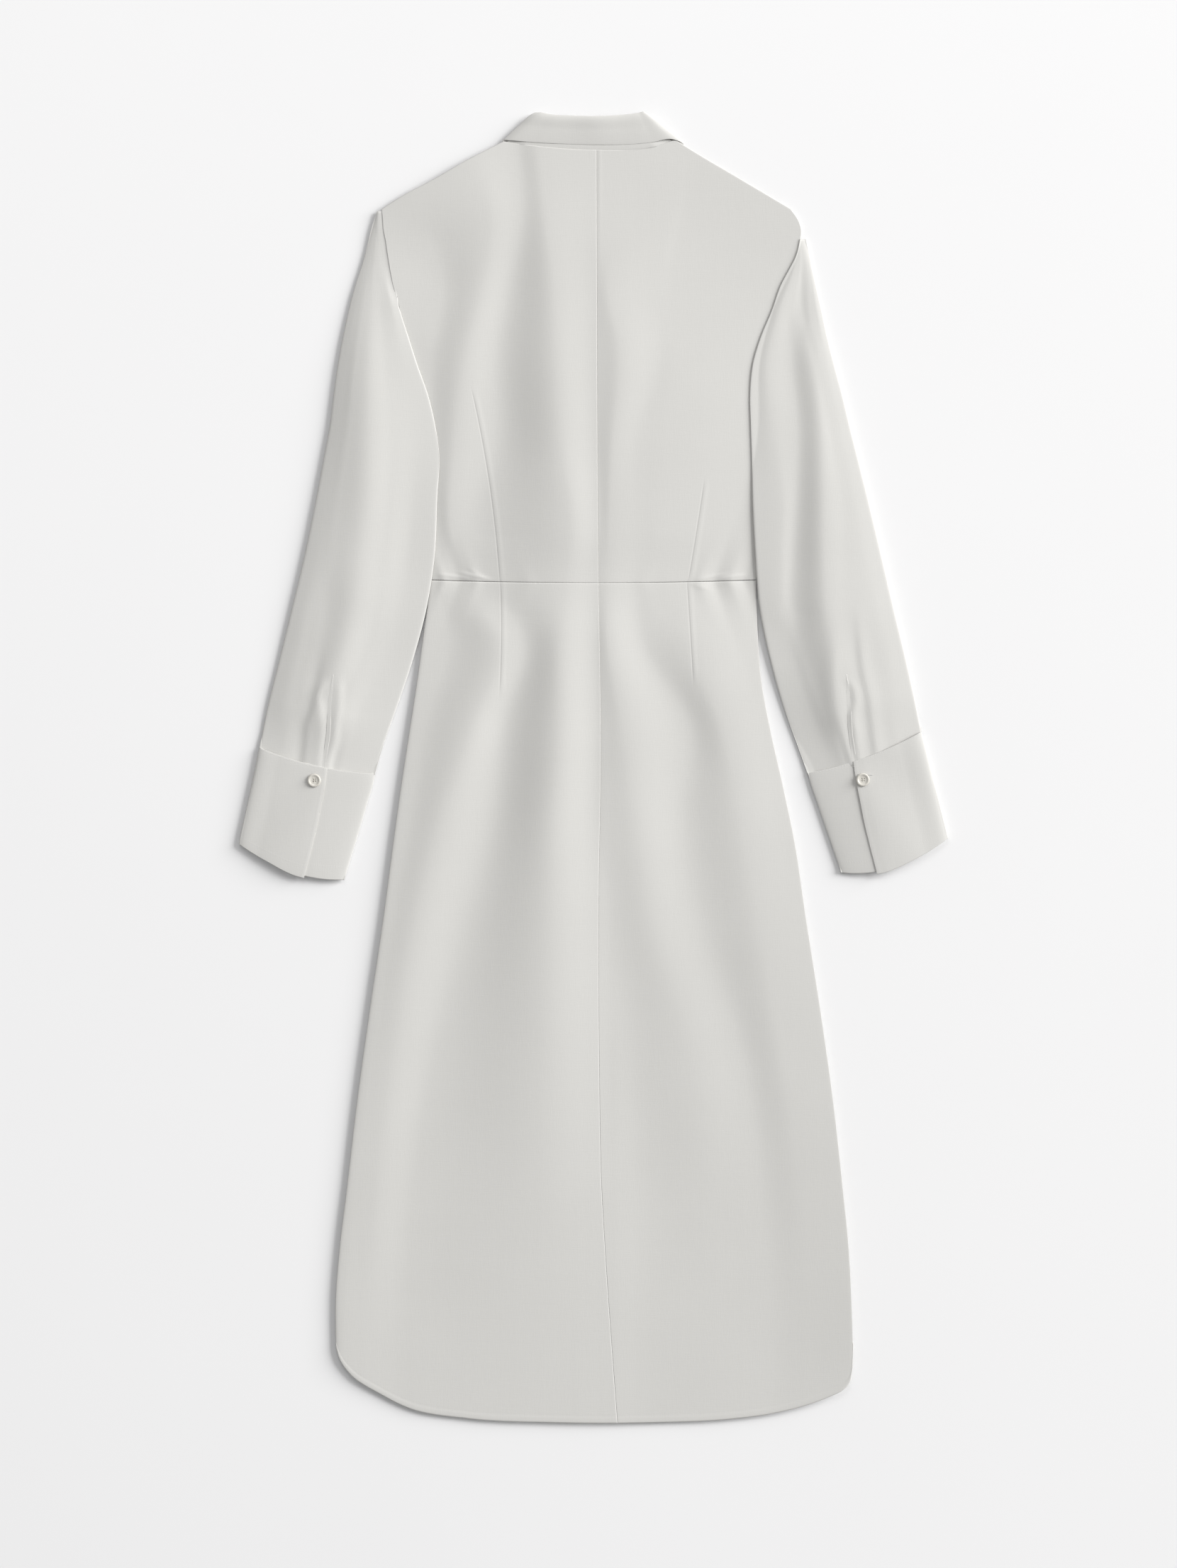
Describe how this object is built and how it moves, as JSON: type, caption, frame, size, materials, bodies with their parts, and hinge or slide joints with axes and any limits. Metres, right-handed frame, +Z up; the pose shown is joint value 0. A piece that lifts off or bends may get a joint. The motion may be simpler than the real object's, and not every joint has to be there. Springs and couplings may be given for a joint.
{
  "type": "shirt dress",
  "caption": "Long-sleeved shirt dress lying flat with its back up: turned-down collar, waist seam, flared skirt and buttoned cuffs.",
  "frame": {"origin": "centre of the flat dress in plan, on the surface that it lies on", "axes": "+X across the dress towards its own right sleeve as it lies on its front, +Y from the hem to the collar, +Z up from the surface"},
  "size_m": [0.6616, 1.2214, 0.0091],
  "materials": {
    "cloth": "smooth off-white plain-weave cloth with a slight sheen",
    "buttons": "off-white, softly glossy"
  },
  "bodies": {
    "root": {"back_bodice_left": "cloth", "back_bodice_right": "cloth", "front_bodice_left": "cloth", "front_bodice_right": "cloth", "back_skirt_left": "cloth", "back_skirt_right": "cloth", "front_skirt_left": "cloth", "front_skirt_right": "cloth", "placket_over": "cloth", "placket_under": "cloth", "collar_stand": "cloth", "collar_fall": "cloth", "sleeve_left": "cloth", "sleeve_right": "cloth", "cuff_left": "cloth", "cuff_right": "cloth", "slit_binding_left": "cloth", "slit_binding_right": "cloth", "cuff_button_left": "buttons", "cuff_button_right": "buttons", "front_button_01": "buttons", "front_button_02": "buttons", "front_button_03": "buttons", "front_button_04": "buttons", "front_button_05": "buttons", "front_button_06": "buttons", "front_button_07": "buttons", "front_button_08": "buttons", "front_button_09": "buttons"}
  },
  "joints": []
}
